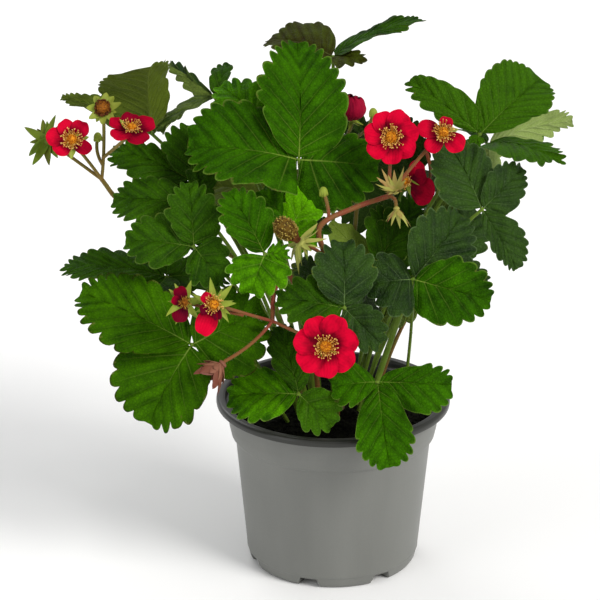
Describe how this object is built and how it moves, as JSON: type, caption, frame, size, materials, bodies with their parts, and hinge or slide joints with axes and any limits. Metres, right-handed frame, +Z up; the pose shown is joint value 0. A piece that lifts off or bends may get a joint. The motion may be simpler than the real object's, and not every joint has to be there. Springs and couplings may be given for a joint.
{
  "type": "potted strawberry plant",
  "caption": "Red-flowered strawberry plant in a grey nursery pot: trifoliate toothed leaves on long stalks and branching flower trusses rising from soil, standing flat on the pot's base.",
  "frame": {"origin": "centre of the pot's flat base, on the pot's axis, at floor level", "axes": "+Z up along the pot's axis, -Y towards the front of the plant, +X to the right seen from the front"},
  "size_m": [0.3024, 0.1917, 0.2907],
  "materials": {
    "pot_plastic": "moulded polypropylene, grey outside and near black inside and on the rim, low sheen",
    "soil": "dark damp potting soil with small crumbs",
    "crown": "brown scaly crown",
    "leaf_bright": "bright green young leaf, soft sheen, pale veins, paler underside",
    "leaf_mid": "mid green leaf, soft sheen, pale veins, paler underside",
    "leaf_dark": "dark blue-green leaf, soft sheen, pale veins, paler underside",
    "petal_red": "soft crimson petal, darker wine red at the middle",
    "heart_yellow": "orange-yellow stamens round a small cone",
    "truss_green": "hairy flower stalk, reddish in parts, with yellow-green sepals",
    "fruit_green": "unripe olive fruit with small brown seeds"
  },
  "bodies": {
    "root": {"pot": "pot_plastic", "soil": "soil", "crown": "crown", "leaf_top": "leaf_bright", "leaf_crest": "leaf_dark", "leaf_left_pale": "leaf_mid", "leaf_left_high": "leaf_mid", "leaf_behind_top": "leaf_mid", "leaf_left_upper": "leaf_mid", "leaf_left_lower": "leaf_mid", "leaf_left_mid": "leaf_dark", "leaf_left_dark": "leaf_dark", "leaf_left_low": "leaf_bright", "leaf_young": "leaf_bright", "leaf_young_back": "leaf_bright", "leaf_centre_back": "leaf_mid", "leaf_centre": "leaf_dark", "leaf_right_mid": "leaf_bright", "leaf_right_back": "leaf_dark", "leaf_right_high": "leaf_mid", "leaf_right_far": "leaf_mid", "leaf_right": "leaf_dark", "leaf_front_left": "leaf_dark", "leaf_front_right": "leaf_mid", "leaf_back_right": "leaf_mid", "leaf_back_left": "leaf_bright", "leaf_back_low": "leaf_mid", "truss_left": "truss_green", "truss_low": "truss_green", "truss_right": "truss_green", "truss_back": "truss_green", "petals_front": "petal_red", "petals_centre": "petal_red", "petals_torn": "petal_red", "petals_side": "petal_red", "petals_closed": "petal_red", "petals_left": "petal_red", "petals_low_left": "petal_red", "petals_faded": "petal_red", "petals_dropping": "petal_red", "petals_back": "petal_red", "heart_front": "heart_yellow", "heart_centre": "heart_yellow", "heart_torn": "heart_yellow", "heart_side": "heart_yellow", "heart_left": "heart_yellow", "heart_low_left": "heart_yellow", "heart_faded": "heart_yellow", "heart_dropping": "heart_yellow", "heart_back": "heart_yellow", "heart_seed_head": "heart_yellow", "young_fruit": "fruit_green"}
  },
  "joints": []
}
